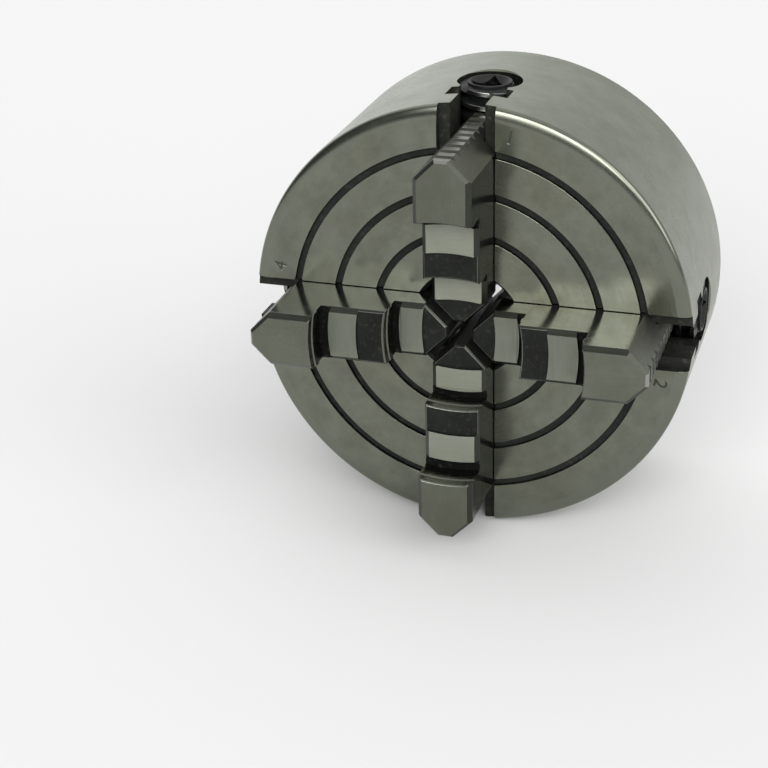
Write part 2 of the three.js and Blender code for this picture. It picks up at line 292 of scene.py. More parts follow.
def mirrored(right):
    """A symmetrical section, from the (y, z) corners of its right half."""
    return right + [(-y, z) for y, z in reversed(right)]


def inset(points, distance):
    """A convex outline moved in by a distance on every side."""
    centre = sum((Vector(p) for p in points), Vector((0, 0))) / len(points)
    lines = []
    for i, corner in enumerate(points):
        start = Vector(corner)
        along = (Vector(points[(i + 1) % len(points)]) - start).normalized()
        inward = Vector((-along.y, along.x))
        if inward.dot(centre - start) < 0:
            inward.negate()
        lines.append((start + inward * distance, along))
    result = []
    for i, (point, along) in enumerate(lines):
        before, direction = lines[i - 1]
        gap = point - before
        crossing = direction.x * along.y - direction.y * along.x
        reach = (gap.x * along.y - gap.y * along.x) / crossing
        result.append(tuple(before + direction * reach))
    return result


def threaded_bar(start, end, root_r, crest_r, crest_width, soften=0.0):
    """A straight bar with a left-handed thread, whose form moves back one pitch in a turn."""
    half = crest_width / 2
    form = [(-half - FLANK, root_r), (-half, crest_r - soften)]
    if soften:
        form += [(soften - half, crest_r), (half - soften, crest_r)]
    form += [(half, crest_r - soften), (half + FLANK, root_r)]
    levels = [(start, 0)]
    first_turn = math.floor((start - THREAD_PHASE) / PITCH) - 1
    last_turn = math.ceil((end - THREAD_PHASE) / PITCH) + 2
    for turn in range(first_turn, last_turn + 1):
        centre = THREAD_PHASE + turn * PITCH
        levels += [(centre + offset, radius) for offset, radius in form]
    levels.append((end, 0))
    last = len(levels) - 1
    verts = []
    for step in range(SCREW_SEGMENTS + 1):
        across = step / SCREW_SEGMENTS
        angle = 2 * math.pi * across
        for index, (x, radius) in enumerate(levels):
            if 0 < index < last:
                shifted = x - across * PITCH
                x = min(max(shifted, start), end)
                radius = radius if x == shifted else root_r
            verts.append((x, -radius * math.sin(angle), SCREW_Z + radius * math.cos(angle)))
    row = len(levels)
    faces = [
        [step * row + i, step * row + i + 1, (step + 1) * row + i + 1, (step + 1) * row + i]
        for step in range(SCREW_SEGMENTS)
        for i in range(last)
    ]
    return solid(verts, faces)


# ---- Body ----

def slot_section():
    """The jaw's slot: a recess for its head, a neck, a T groove and a rib."""
    neck = NECK_HALF + GAP
    head = HEAD_HALF + FACE_GAP
    return mirrored([
        (RIB_HALF + GAP, RIB_Z - 2 * GAP),
        (RIB_HALF + GAP, FLANGE_Z - GAP),
        (FLANGE_HALF + GAP, FLANGE_Z - GAP),
        (FLANGE_HALF + GAP, NECK_Z + GAP),
        (neck, NECK_Z + GAP),
        (neck, HEAD_Z - GAP - LIP),
        (neck + LIP, HEAD_Z - GAP),
        (head, HEAD_Z - GAP),
        (head, BODY_H - LIP),
        (head + LIP, BODY_H),
        (head + LIP, BODY_H + CUT_MARGIN),
    ])


def front_round():
    """The worn front edge: a tight round from the rim that eases slowly into the flat face."""
    ease = math.radians(FRONT_EASE_ANGLE)
    tight_r = (FRONT_ROUND - FRONT_EASE_R * (1 - math.cos(ease))) / math.cos(ease)
    flat_r = BODY_R - tight_r - (FRONT_EASE_R - tight_r) * math.sin(ease)
    points = []
    for step in range(FRONT_ROUND_STEPS + 1):
        angle = math.pi / 2 + (ease - math.pi / 2) * step / FRONT_ROUND_STEPS
        radius = BODY_R - tight_r + tight_r * math.sin(angle)
        points.append((radius, BODY_H - FRONT_ROUND + tight_r * math.cos(angle)))
    for step in range(1, FRONT_EASE_STEPS + 1):
        angle = ease * (1 - step / FRONT_EASE_STEPS)
        radius = flat_r + FRONT_EASE_R * math.sin(angle)
        points.append((radius, BODY_H - FRONT_EASE_R * (1 - math.cos(angle))))
    return points


def body_profile():
    profile = [
        (BORE_R, REGISTER_DEPTH),
        (REGISTER_R, REGISTER_DEPTH),
        (REGISTER_R, 0),
        (BODY_R - BACK_CHAMFER, 0),
        (BODY_R, BACK_CHAMFER),
    ]
    profile += front_round()
    for radius in GROOVE_RADII:
        outer = radius + GROOVE_WIDTH / 2
        inner = radius - GROOVE_WIDTH / 2
        floor = BODY_H - GROOVE_DEPTH
        profile += [(outer, BODY_H), (outer, floor), (inner, floor), (inner, BODY_H)]
    profile += [(BORE_R + BORE_CHAMFER, BODY_H), (BORE_R, BODY_H - BORE_CHAMFER)]
    return profile


def bolt_hole():
    """A tapped hole with a countersunk mouth."""
    mouth = BOLT_HOLE_R + BOLT_THREAD_DEPTH + BOLT_MOUTH
    profile = [
        (0, -SHORT_MARGIN),
        (mouth + SHORT_MARGIN, -SHORT_MARGIN),
        (mouth, 0),
        (BOLT_HOLE_R, mouth - BOLT_HOLE_R),
    ]
    level = mouth - BOLT_HOLE_R + BOLT_THREAD_START
    while level + BOLT_THREAD_PITCH < BOLT_HOLE_DEPTH - BOLT_THREAD_RUNOUT:
        profile.append((BOLT_HOLE_R, level))
        profile.append((BOLT_HOLE_R + BOLT_THREAD_DEPTH, level + BOLT_THREAD_PITCH / 2))
        level += BOLT_THREAD_PITCH
    profile += [
        (BOLT_HOLE_R, level),
        (BOLT_HOLE_R, BOLT_HOLE_DEPTH - BOLT_HOLE_POINT),
        (0, BOLT_HOLE_DEPTH),
    ]
    return turned(profile, BOLT_HOLE_SEGMENTS, BOLT_CIRCLE_R)


def digit(number):
    """The jaw number beside its slot, standing upright to someone looking at that jaw."""
    curve = bpy.data.curves.new("digit", "FONT")
    curve.body = str(number)
    curve.size = DIGIT_SIZE
    curve.extrude = DIGIT_HALF_HEIGHT
    curve.offset = DIGIT_BOLD
    curve.align_x = "CENTER"
    curve.align_y = "CENTER"
    text = bpy.data.objects.new("digit", curve)
    bpy.context.scene.collection.objects.link(text)
    depsgraph = bpy.context.evaluated_depsgraph_get()
    mesh = bpy.data.meshes.new_from_object(text.evaluated_get(depsgraph))
    bpy.data.objects.remove(text)
    bpy.data.curves.remove(curve)
    obj = closed(mesh)
    heading = -90 * (number - 1) - DIGIT_ANGLE
    level = BODY_H - DIGIT_DEPTH + DIGIT_HALF_HEIGHT
    turn = Matrix.Rotation(math.radians(heading), 4, "Z")
    return moved(obj, turn @ Matrix.Translation((0, DIGIT_R, level)))


def screw_bore():
    mouth = BODY_R - SCREW_BORE_CHAMFER
    return turned_on_screw([
        (0, SCREW_BORE_START),
        (SCREW_BORE_R, SCREW_BORE_START),
        (SCREW_BORE_R, mouth),
        (SCREW_BORE_R + CUT_MARGIN, mouth + CUT_MARGIN),
        (0, mouth + CUT_MARGIN),
    ])


def yoke_bore():
    mouth = YOKE_BORE_R + YOKE_BORE_CHAMFER
    return turned([
        (0, -SHORT_MARGIN),
        (mouth + SHORT_MARGIN, -SHORT_MARGIN),
        (mouth, 0),
        (mouth, YOKE_BORE_LIP),
        (YOKE_BORE_R, YOKE_BORE_CHAMFER + YOKE_BORE_LIP),
        (YOKE_BORE_R, SCREW_Z),
        (0, SCREW_Z),
    ], YOKE_SEGMENTS, NECK_GROOVE_X)


def body_solid():
    body = turned(body_profile(), BODY_SEGMENTS)
    for quarter in range(4):
        station = Matrix.Rotation(math.radians(90 * quarter), 4, "Z")
        between = Matrix.Rotation(math.radians(90 * quarter + 45), 4, "Z")
        slot = prism_along_x(slot_section(), 0, BODY_R + CUT_MARGIN)
        for cutter in (slot, screw_bore(), yoke_bore()):
            cut(body, moved(cutter, station))
        cut(body, moved(bolt_hole(), between))
    for number in STATIONS:
        cut(body, digit(number))
    return body


# ---- Operating screw ----

def screw_solid():
    face_x = SCREW_OUTER_END
    tip_x = face_x + BOSS_HEIGHT
    screw = threaded_bar(SCREW_INNER_END, face_x, ROOT_R, CREST_R, CREST_WIDTH, THREAD_SOFTENING)
    boss = turned_on_screw([
        (0, face_x - BOSS_HEIGHT),
        (BOSS_R, face_x - BOSS_HEIGHT),
        (BOSS_R, tip_x - BOSS_CHAMFER),
        (BOSS_R - BOSS_CHAMFER, tip_x),
        (0, tip_x),
    ])
    joined(screw, boss, "UNION")
    start = NECK_GROOVE_X - NECK_GROOVE_WIDTH / 2
    end = NECK_GROOVE_X + NECK_GROOVE_WIDTH / 2
    neck = turned_on_screw([
        (NECK_GROOVE_R, start),
        (CREST_R + CUT_MARGIN, start),
        (CREST_R + CUT_MARGIN, end),
        (NECK_GROOVE_R, end),
    ])
    corner = SOCKET_ACROSS / math.sqrt(2)
    square = [(corner, SCREW_Z), (0, SCREW_Z + corner), (-corner, SCREW_Z), (0, SCREW_Z - corner)]
    socket = prism_along_x(square, tip_x - SOCKET_DEPTH, tip_x + CUT_MARGIN)
    mouth = turned_on_screw([
        (0, tip_x - SOCKET_MOUTH_R),
        (SOCKET_MOUTH_R + CUT_MARGIN, tip_x + CUT_MARGIN),
        (0, tip_x + CUT_MARGIN),
    ])
    return cut(screw, neck, socket, mouth)


# ---- Thrust yoke and plug ----

def yoke_solid():
    low = PLUG_BACK_Z + PLUG_HEIGHT + GAP
    yoke = cylinder_at(YOKE_R, NECK_GROOVE_X, low, YOKE_TOP_Z, YOKE_SEGMENTS)
    tongue_half = NECK_GROOVE_WIDTH / 2 - GAP
    top = YOKE_TOP_Z + CUT_MARGIN
    for side in (-1, 1):
        near = NECK_GROOVE_X + side * tongue_half
        far = NECK_GROOVE_X + side * CUT_MARGIN
        beside = [(near, YOKE_SHOULDER_Z), (far, YOKE_SHOULDER_Z), (far, top), (near, top)]
        cut(yoke, prism_across_y(beside, CUT_MARGIN))
    reach = NECK_GROOVE_R + GAP
    saddle = turned_on_screw([
        (0, NECK_GROOVE_X - CUT_MARGIN),
        (reach, NECK_GROOVE_X - CUT_MARGIN),
        (reach, NECK_GROOVE_X + CUT_MARGIN),
        (0, NECK_GROOVE_X + CUT_MARGIN),
    ])
    mouth = [(-reach, SCREW_Z), (reach, SCREW_Z), (reach, top), (-reach, top)]
    opening = prism_along_x(mouth, NECK_GROOVE_X - CUT_MARGIN, NECK_GROOVE_X + CUT_MARGIN)
    return cut(yoke, saddle, opening)


def plug_solid():
    top = PLUG_BACK_Z + PLUG_HEIGHT
    plug = cylinder_at(YOKE_R, NECK_GROOVE_X, PLUG_BACK_Z, top, YOKE_SEGMENTS)
    left = NECK_GROOVE_X - PLUG_SLOT_WIDTH / 2
    right = NECK_GROOVE_X + PLUG_SLOT_WIDTH / 2
    low = PLUG_BACK_Z - CUT_MARGIN
    high = PLUG_BACK_Z + PLUG_SLOT_DEPTH
    slot = [(left, low), (right, low), (right, high), (left, high)]
    return cut(plug, prism_across_y(slot, CUT_MARGIN))


# ---- Jaw ----

def jaw_plan(half, end_x, square_start=None):
    """The jaw seen from the front: a pointed tip, or a square start, and a tapered outer end."""
    right = [(JAW_TIP_X, JAW_TIP_HALF), (JAW_TIP_X + half - JAW_TIP_HALF, half)]
    if square_start is not None:
        right = [(square_start, half)]
    right += [(end_x - half + JAW_END_HALF, half), (end_x, JAW_END_HALF)]
    return right + [(x, -y) for x, y in reversed(right)]


def jaw_side():
    """The jaw seen from its side, with the serrations down its outer end."""
    top = LAND_Z[2]
    points = [(JAW_TIP_X, RIB_Z), (JAW_TIP_X, top), (JAW_END_X, top)]
    for tooth in range(TOOTH_COUNT):
        middle = top - TOOTH_FIRST_DROP - tooth * TOOTH_PITCH
        points += [
            (JAW_END_X, middle + TOOTH_HALF),
            (JAW_END_X - TOOTH_DEPTH, middle),
            (JAW_END_X, middle - TOOTH_HALF),
        ]
    points.append((JAW_END_X, RIB_Z))
    return points


def head_block(top_z, square_start=None):
    """A block of the head up to one land, chamfered all round its top."""
    plan = jaw_plan(HEAD_HALF, JAW_END_X + CHAMFER_OVERRUN, square_start)
    top = inset(plan, CHAMFER_WIDTH)
    count = len(plan)
    levels = [(plan, HEAD_Z), (plan, top_z - CHAMFER_HEIGHT), (top, top_z)]
    verts = [(x, y, z) for points, z in levels for x, y in points]
    faces = [list(range(count)), list(range(2 * count, 3 * count))]
    for low in (0, count):
        for i in range(count):
            j = (i + 1) % count
            faces.append([low + i, low + j, low + count + j, low + count + i])
    return solid(verts, faces)


def guide_block():
    """The rib, flange and neck that run in the body's slot."""
    right = [
        (RIB_HALF, RIB_Z),
        (RIB_HALF, FLANGE_Z),
        (FLANGE_HALF, FLANGE_Z),
        (FLANGE_HALF, NECK_Z),
        (NECK_HALF, NECK_Z),
        (NECK_HALF, HEAD_Z + GAP),
    ]
    return prism_along_x(mirrored(right), 0, BODY_R)


def riser_cut(i):
    """What the curved riser behind step i leaves free."""
    top_z = LAND_Z[1] - PAD_RELIEF if i == 0 else LAND_Z[2]
    groove_z = LAND_Z[i] - UNDERCUT_DEPTH
    low_band_r = RISER_R - RISER_LEDGE
    far_r = RISER_R + RISER_TOP_CHAMFER
    return turned([
        (0, LAND_Z[i]),
        (RISER_R - UNDERCUT_WIDTH[i], LAND_Z[i]),
        (RISER_R - UNDERCUT_WIDTH[i], groove_z),
        (RISER_R, groove_z),
        (RISER_R, top_z - RISER_RELIEF_DROP - RISER_LEDGE),
        (low_band_r, top_z - RISER_RELIEF_DROP),
        (low_band_r, top_z - RISER_LEDGE_DROP - RISER_LEDGE),
        (RISER_R, top_z - RISER_LEDGE_DROP),
        (RISER_R, top_z - RISER_TOP_CHAMFER),
        (far_r, top_z),
        (far_r, top_z + CUT_MARGIN),
        (0, top_z + CUT_MARGIN),
    ], RISER_SEGMENTS, RISER_X[i] - RISER_R)


def pad_cut(i):
    """What lowers step i's inner part to its black pad."""
    pad_z = LAND_Z[i] - PAD_RELIEF
    return cylinder_at(RISER_R, PAD_END_X[i] - RISER_R, pad_z, pad_z + CUT_MARGIN, RISER_SEGMENTS)


def jaw_solid():
    jaw = head_block(LAND_Z[0])
    joined(jaw, head_block(LAND_Z[1], RISER_X[0] - 2 * CHAMFER_WIDTH), "UNION")
    joined(jaw, head_block(LAND_Z[2], RISER_X[1] - 2 * CHAMFER_WIDTH), "UNION")
    joined(jaw, guide_block(), "UNION")
    footprint = jaw_plan(FLANGE_HALF, JAW_END_X)
    joined(jaw, prism_along_z(footprint, RIB_Z - CUT_MARGIN, LAND_Z[2] + CUT_MARGIN), "INTERSECT")
    joined(jaw, prism_across_y(jaw_side(), FLANGE_HALF + CUT_MARGIN), "INTERSECT")
    root_r = ROOT_R + NUT_ROOT_GAP
    crest_r = CREST_R + NUT_CREST_GAP
    tap = threaded_bar(JAW_TIP_X - CUT_MARGIN, BODY_R, root_r, crest_r, CREST_WIDTH + 2 * GAP)
    return cut(jaw, riser_cut(0), riser_cut(1), pad_cut(0), pad_cut(1), tap)


# ---- Node materials ----

# Scales of the noise patterns, in cells to the metre, and the height of the fine relief
BLOTCH_SCALE = 45.0
PATCH_SCALE = 110.0
CLOUD_SCALE = 140.0
GRIT_SCALE = 700.0
SPECK_SCALE = 900.0
BUMP_HEIGHT = 2e-5

# The wide grain lines against the fine ones, and how often a turned line breaks off on its way
WIDE_FINE = 0.22
WIDE_COARSE = 0.6
TURNED_COARSE = 30

# Colours that lie over a finish
OIL = (0.30, 0.27, 0.20)
WORN_OXIDE = (0.06, 0.06, 0.055)


class Nodes:
    """A short way to write a node tree."""

    def __init__(self, tree):
        self.tree = tree
        self.shader = tree.nodes.get("Principled BSDF")

    def add(self, kind, inputs=None, **settings):
        node = self.tree.nodes.new("ShaderNode" + kind)
        for key, value in settings.items():
            setattr(node, key, value)
        for key, value in (inputs or {}).items():
            self.feed(node.inputs[key], value)
        return node

    def feed(self, socket, value):
        if isinstance(value, bpy.types.NodeSocket):
            self.tree.links.new(value, socket)
        else:
            socket.default_value = value

    def place(self):
        return self.add("TexCoord").outputs["Object"]

    def attribute(self, name):
        return self.add("Attribute", attribute_name=name).outputs["Vector"]

    def math(self, operation, a, b=0.0):
        return self.add("Math", {0: a, 1: b}, operation=operation).outputs[0]

    def product(self, result, *others):
        for other in others:
            result = self.math("MULTIPLY", result, other)
        return result

    def scaled(self, vector, scale):
        node = self.add("VectorMath", {0: vector, 1: scale}, operation="MULTIPLY")
        return node.outputs[0]

    def unit(self, vector):
        return self.add("VectorMath", {0: vector}, operation="NORMALIZE").outputs[0]

    def dot(self, a, b):
        return self.add("VectorMath", {0: a, 1: b}, operation="DOT_PRODUCT").outputs["Value"]

    def vector(self, x, y, z):
        return self.add("CombineXYZ", {0: x, 1: y, 2: z}).outputs[0]

    def parts(self, vector):
        return self.add("SeparateXYZ", {0: vector}).outputs

    def noise(self, vector, scale, detail=3.0, roughness=0.55):
        inputs = {"Vector": vector, "Scale": scale, "Detail": detail, "Roughness": roughness}
        return self.add("TexNoise", inputs).outputs["Fac"]

    def ranged(self, value, low, high, to_low, to_high):
        inputs = {0: value, 1: low, 2: high, 3: to_low, 4: to_high}
        return self.add("MapRange", inputs).outputs[0]

    def soft(self, value, start, end):
        """A smooth step from 0 at the start to 1 at the end."""
        inputs = {0: value, 1: start, 2: end}
        return self.add("MapRange", inputs, interpolation_type="SMOOTHSTEP").outputs[0]

    def mix(self, factor, a, b):
        node = self.add("Mix", {0: factor, 6: a, 7: b}, data_type="RGBA")
        return node.outputs[2]

    def bump(self, strength, height):
        inputs = {"Strength": strength, "Distance": BUMP_HEIGHT, "Height": height}
        self.feed(self.shader.inputs["Normal"], self.add("Bump", inputs).outputs[0])


def new_material(name):
    material = bpy.data.materials.new(name)
    material.use_nodes = True
    return material, Nodes(material.node_tree)


def rgba(colour, gain=1.0):
    return tuple(min(1.0, channel * gain) for channel in colour) + (1.0,)


def grain_vector(nodes, grain, fine, coarse):
    """Coordinates in which noise runs out into lines: across them fine, along them coarse."""
    at = nodes.attribute("at")
    parts = nodes.parts(at)
    if grain == "along":
        return nodes.scaled(at, (coarse, fine, fine))
    if grain == "across":
        return nodes.scaled(at, (fine, coarse, fine))
    if grain == "upright":
        return nodes.scaled(at, (fine, fine, coarse))
    flat = nodes.scaled(at, (1, 1, 0))
    radius = nodes.add("VectorMath", {0: flat}, operation="LENGTH").outputs["Value"]
    turn = nodes.parts(nodes.scaled(nodes.unit(flat), (TURNED_COARSE * coarse,) * 3))
    step = nodes.math("MULTIPLY", radius if grain == "turned" else parts[2], fine)
    return nodes.vector(step, turn[0], turn[1])


def tangent(nodes, grain):
    """The direction in which the grain spreads a highlight."""
    if grain == "turned":
        return nodes.unit(nodes.scaled(nodes.place(), (1, 0, 1)))
    if grain == "rim":
        return nodes.vector(0.0, 1.0, 0.0)
    return nodes.attribute("along_jaw" if grain == "across" else "across_jaw")


def ground_metal(name, colour, rough, grain, *, fine=9.0, coarse=0.15, lines=0.12, stains=0.12,
                 speckle=0.08, mottle=0.04, vary=0.05, aniso=0.5, bump=0.12, grazing=1.0):
    """Machined metal: grain lines, oily stains, fine specks and a soft spread of the highlight."""
    material, nodes = new_material(name)
    shader = nodes.shader.inputs
    place = nodes.place()
    fine_lines = nodes.noise(grain_vector(nodes, grain, fine, coarse), 1.0, 4.0, 0.7)
    wide = grain_vector(nodes, grain, fine * WIDE_FINE, coarse * WIDE_COARSE)
    wide_lines = nodes.noise(wide, 1.0, 2.0)
    blotches = nodes.noise(place, BLOTCH_SCALE, 5.0, 0.6)
    clouds = nodes.noise(place, CLOUD_SCALE, 4.0, 0.6)
    specks = nodes.noise(place, SPECK_SCALE, 2.0, 0.6)

    contrast = nodes.ranged(fine_lines, 0.25, 0.75, 0.0, 1.0)
    base = nodes.mix(contrast, rgba(colour, 1 - lines), rgba(colour, 1 + lines))
    clouded = nodes.ranged(clouds, 0.35, 0.6, 4 * mottle, 0.0)
    base = nodes.mix(clouded, base, rgba(colour, 0.7))
    stained = nodes.ranged(blotches, 0.42, 0.75, 0.0, stains * 2.5)
    base = nodes.mix(stained, base, rgba(OIL, sum(colour) / 1.2))
    speckled = nodes.ranged(specks, 0.6, 0.8, 0.0, speckle * 3)
    base = nodes.mix(speckled, base, rgba(colour, 0.55))
    nodes.feed(shader["Base Color"], base)
    shader["Metallic"].default_value = 1.0
    shader["Specular Tint"].default_value = rgba((grazing,) * 3)

    along_lines = nodes.ranged(wide_lines, 0.3, 0.7, -vary, vary)
    under_stains = nodes.ranged(blotches, 0.3, 0.8, -0.03, 0.08)
    varied = nodes.math("ADD", along_lines, under_stains)
    nodes.feed(shader["Roughness"], nodes.math("ADD", varied, rough))
    if aniso:
        shader["Anisotropic"].default_value = aniso
        nodes.feed(shader["Tangent"], tangent(nodes, grain))
    nodes.bump(bump, nodes.math("ADD", fine_lines, nodes.math("MULTIPLY", wide_lines, 0.6)))
    return material


def dark_finish(name, colour, rough, *, metallic=0.0, specular=0.3, worn=(0.12, 0.12, 0.11),
                wear=0.25, bump=0.2):
    """A dark skin with fine grit, oily patches and a little rubbed metal: black oxide or phosphate
    on the screws and pads, and painted shade in the slots, bore, grooves, undercuts, socket and
    serration notches.
    """
    material, nodes = new_material(name)
    shader = nodes.shader.inputs
    place = nodes.place()
    patches = nodes.noise(place, PATCH_SCALE, 5.0, 0.6)
    grit = nodes.noise(place, GRIT_SCALE, 3.0, 0.6)
    patched = nodes.ranged(patches, 0.3, 0.7, 0.0, 1.0)
    base = nodes.mix(patched, rgba(colour, 0.75), rgba(colour, 1.25))
    rubbed = nodes.mix(nodes.ranged(grit, 0.55, 0.85, 0.0, wear), base, rgba(worn))
    nodes.feed(shader["Base Color"], rubbed)
    shader["Metallic"].default_value = metallic
    shader["Specular IOR Level"].default_value = specular
    varied = nodes.ranged(patches, 0.25, 0.75, rough - 0.07, rough + 0.09)
    nodes.feed(shader["Roughness"], varied)
    nodes.bump(bump, grit)
    return material


STEEL = (0.185, 0.197, 0.157)
MATERIALS = {
    "face": ground_metal(
        "face_ground", STEEL, 0.22, "turned", aniso=0.3, bump=0.05, mottle=0.16, vary=0.03,
        speckle=0.13, stains=0.18,
    ),
    "round": ground_metal(
        "round_worn", (0.18, 0.192, 0.156), 0.2, "turned", aniso=0.1, bump=0.02, lines=0.04,
        vary=0.02,
    ),
    "rim": ground_metal(
        "rim_turned", (0.218, 0.240, 0.186), 0.25, "rim", fine=6.0, coarse=0.04, aniso=0.4,
        bump=0.003, lines=0.015, mottle=0.13, vary=0.012, speckle=0.03,
    ),
    "back": ground_metal("back_turned", STEEL, 0.36, "turned", fine=5.0, aniso=0.4),
    # Near black on the slot walls, with a little rubbed metal: painted shade in the jaw slots.
    "slot": dark_finish("slot_painted_shade", (0.013, 0.014, 0.011), 0.4, specular=0.12, wear=0.4),
    # Near black in the bore and in every other hole: painted shade.
    "bore": dark_finish("bore_painted_shade", (0.008, 0.008, 0.007), 0.24, specular=0.08, bump=0.05),
    "groove": dark_finish("groove_shadowed", (0.013, 0.0145, 0.012), 0.45, specular=0.12),
    "etched": dark_finish("etched_number", (0.03, 0.03, 0.025), 0.6),
    "edge": ground_metal("edge_rubbed", (0.16, 0.165, 0.145), 0.3, "along", aniso=0.0, lines=0.05),
    "strip": ground_metal(
        "strip_ground", (0.235, 0.250, 0.205), 0.4, "across", fine=7.0, aniso=0.9, bump=0.06,
    ),
    "land": ground_metal(
        "land_ground", (0.145, 0.155, 0.122), 0.30, "along", fine=7.0, aniso=0.7, bump=0.05,
        mottle=0.10,
    ),
    "side": ground_metal(
        "side_ground", (0.330, 0.336, 0.325), 0.16, "along", aniso=0.2, stains=0.15, bump=0.05,
        mottle=0.06, grazing=0.55,
    ),
    "corner": ground_metal(
        "corner_milled", (0.140, 0.146, 0.125), 0.44, "upright", aniso=0.0, bump=0.05,
        mottle=0.06,
    ),
    "chamfer": ground_metal(
        "chamfer_milled", (0.052, 0.055, 0.046), 0.28, "along", aniso=0.2, bump=0.05,
    ),
    "riser": ground_metal("riser_ground", (0.15, 0.155, 0.13), 0.26, "across", aniso=0.3),
    "tooth": ground_metal("tooth_ground", (0.26, 0.27, 0.24), 0.28, "across", aniso=0.3),
    # The serration notches darker than the teeth: painted shade in the notches.
    "valley": dark_finish("valley_painted_shade", (0.05, 0.052, 0.042), 0.42, metallic=0.7),
    "pad": dark_finish("pad_black", (0.0095, 0.0105, 0.0085), 0.46, specular=0.09),
    # Near black on the groove walls and in the undercuts of the jaw's steps: painted shade.
    "recess": dark_finish("recess_painted_shade", (0.004, 0.004, 0.0035), 0.6, specular=0.05),
    "tip": dark_finish("tip_oily", (0.010, 0.010, 0.009), 0.4, specular=0.1),
    "nut": dark_finish("nut_thread", (0.05, 0.05, 0.042), 0.4, metallic=0.8),
    "oxide": dark_finish(
        "oxide_black", (0.008, 0.0085, 0.0085), 0.36, specular=0.12, worn=WORN_OXIDE,
    ),
    "crest": dark_finish("crest_rubbed", (0.04, 0.041, 0.038), 0.26, metallic=0.8, wear=0.3),
    "glint": dark_finish("thread_glint", (0.26, 0.265, 0.25), 0.26, metallic=1.0, wear=0.2),
    "cone": dark_finish(
        "cone_oxide", (0.014, 0.0148, 0.0136), 0.4, specular=0.16, worn=WORN_OXIDE,
    ),
    # The square socket: black oxide painted darker still, painted shade down the hole.
    "socket": dark_finish("socket_oxide_and_painted_shade", (0.003, 0.003, 0.003), 0.5, specular=0.03),
    "plain": ground_metal("plain_steel", (0.22, 0.22, 0.20), 0.4, "upright", aniso=0.2),
}


# ---- Which finish each face has ----

# How much of a face's normal points along one axis
SQUARE = 0.999
UPRIGHT = 0.99
FACING = 0.95
MOSTLY = 0.9
RIM_TILT = 0.8
HALFWAY = 0.5
SLOPED = 0.3
LEANING = 0.2
LEVELLED = 0.1

# How close a face's centre lies to a level, a rim or an end, in millimetres
LEVEL = 0.03
CLOSE = 0.1
WALL = 1
END_BAND = 2
RIM_BAND = 0.35
CREST_BAND = 0.05
SOCKET_BAND = 0.5
RISER_FOOT = 0.5
RISER_REACH = 5


def near(value, target):
    return abs(value - target) < LEVEL


def body_finish(centre, normal):
    radius = math.hypot(centre.x, centre.y)
    if near(centre.z, BODY_H) and normal.z > SQUARE:
        return "face"
    if near(centre.z, BODY_H - DIGIT_DEPTH) and normal.z > SQUARE:
        return "etched"
    if radius > GROOVE_RADII[0] + GROOVE_WIDTH and centre.z > BODY_H - FRONT_ROUND:
        return "round"
    if radius > BODY_R - RIM_BAND and abs(normal.z) < RIM_TILT:
        return "rim"
    if normal.z < -MOSTLY and centre.z < REGISTER_DEPTH + CLOSE:
        return "back"
    off_groove = min(abs(radius - groove_r) for groove_r in GROOVE_RADII)
    if centre.z > BODY_H - GROOVE_DEPTH - CLOSE and off_groove < GROOVE_WIDTH / 2 + CLOSE / 2:
        # Floors take the groove's painted shade and walls the recess's painted shade.
        return "groove" if normal.z > MOSTLY else "recess"
    radial = abs(normal.x * centre.x + normal.y * centre.y) / max(radius, 1)
    # The bore's wall takes the bore's painted shade.
    if radius < BORE_R + WALL and radial > HALFWAY:
        return "bore"
    # The walls of the jaw slots take the slot's painted shade.
    off_slot = min(abs(centre.x), abs(centre.y)) - FLANGE_HALF
    if off_slot < WALL and centre.z > RIB_Z - WALL:
        return "slot"
    # Everything else inside, the register wall and the screw, yoke and bolt holes, takes the
    # bore's painted shade too.
    return "bore"


def step_finish(z):
    """The finish of a level face of the jaw's steps, or None for any other."""
    for i, land_z in enumerate(LAND_Z):
        if near(z, land_z):
            return "land" if i == 2 else "strip"
        if near(z, land_z - PAD_RELIEF):
            return "pad"
        # The floors of the undercuts take the recess's painted shade.
        if near(z, land_z - UNDERCUT_DEPTH):
            return "recess"
    return None


def riser_finish(centre):
    """Bright on the curved face, with painted shade at its foot, where it is undercut."""
    for land_z, riser_x in zip(LAND_Z, RISER_X):
        if centre.z < land_z + RISER_FOOT and abs(centre.x - riser_x) < RISER_REACH:
            return "recess"
    return "riser"


def jaw_finish(centre, normal):
    across = abs(normal.y)
    if normal.z > FACING and step_finish(centre.z):
        return step_finish(centre.z)
    if centre.x > JAW_END_X - TOOTH_DEPTH - CLOSE and normal.x > LEANING:
        if normal.x > FACING:
            return "tooth"
        # The flanks of the notches take painted shade; the flat teeth stay ground steel.
        if SLOPED < abs(normal.z) and normal.z < MOSTLY and across < LEVELLED:
            if centre.z < LAND_Z[2] - END_BAND:
                return "valley"
    if normal.z > SLOPED and centre.z > LAND_Z[0] - CHAMFER_HEIGHT and across > SLOPED:
        return "chamfer"
    if centre.z > LAND_Z[0] - UNDERCUT_DEPTH - CLOSE:
        if normal.x < -LEANING and centre.x > PAD_END_X[0]:
            return riser_finish(centre)
        # The undercuts' inner walls, facing the outer end, take the recess's painted shade.
        if normal.x > HALFWAY and centre.x < JAW_END_X - END_BAND:
            return "recess"
    from_screw = math.hypot(centre.y, centre.z - SCREW_Z)
    if centre.z < FLANGE_Z and from_screw < CREST_R + WALL and across < UPRIGHT:
        return "nut"
    if centre.x < PAD_END_X[0] and centre.z < LAND_Z[0] and normal.x < -SLOPED:
        return "tip"
    if centre.x > RISER_X[1] and normal.x > SLOPED and across > SLOPED:
        return "corner"
    return "side"


